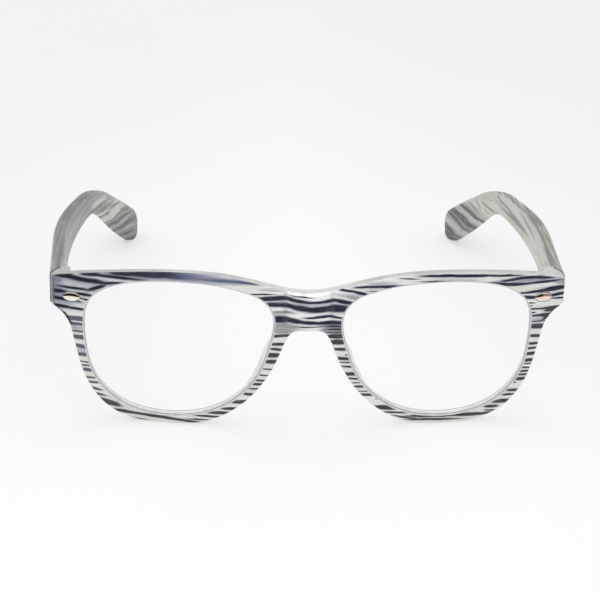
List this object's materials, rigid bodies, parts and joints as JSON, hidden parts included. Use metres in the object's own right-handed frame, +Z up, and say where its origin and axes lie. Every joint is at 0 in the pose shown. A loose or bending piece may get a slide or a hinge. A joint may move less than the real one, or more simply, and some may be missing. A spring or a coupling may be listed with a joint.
{
  "type": "eyeglasses",
  "caption": "Trapezoid-shaped eyeglasses with clear lenses, a streaked plastic front, small metal plaques and temples that fold on barrel hinges.",
  "frame": {"origin": "middle of the bounding box's bottom: the plane the open glasses stand on", "axes": "+X to the right as seen from the front, which is the wearer's left side, +Y from the front back along the temples, +Z up"},
  "size_m": [0.1456, 0.148, 0.0473],
  "materials": {
    "front_plastic": "satin, off-white with dark blue and charcoal streaks",
    "temple_plastic": "satin, grey with soft darker streaks",
    "lens_clear": "polished, clear",
    "hinge_steel": "brushed",
    "screw_steel": "turned",
    "plaque_metal": "polished, warm tint"
  },
  "bodies": {
    "front": {"front_frame": "front_plastic", "lens_left": "lens_clear", "lens_right": "lens_clear", "front_leaf_left": "hinge_steel", "front_leaf_right": "hinge_steel", "hinge_screw_left": "screw_steel", "hinge_screw_right": "screw_steel", "plaque_left": "plaque_metal", "plaque_right": "plaque_metal"},
    "left_arm": {"temple_left": "temple_plastic", "temple_leaf_left": "hinge_steel"},
    "right_arm": {"temple_right": "temple_plastic", "temple_leaf_right": "hinge_steel"}
  },
  "joints": [
    {"name": "left_hinge", "type": "hinge", "parent": "front", "child": "left_arm", "pos_m": [-0.0646, -0.0594, 0.03853], "axis": [0, 0.0698, -0.9976], "range_deg": [0, 80]},
    {"name": "right_hinge", "type": "hinge", "parent": "front", "child": "right_arm", "pos_m": [0.0646, -0.0594, 0.03853], "axis": [0, -0.0698, 0.9976], "range_deg": [0, 86]}
  ]
}
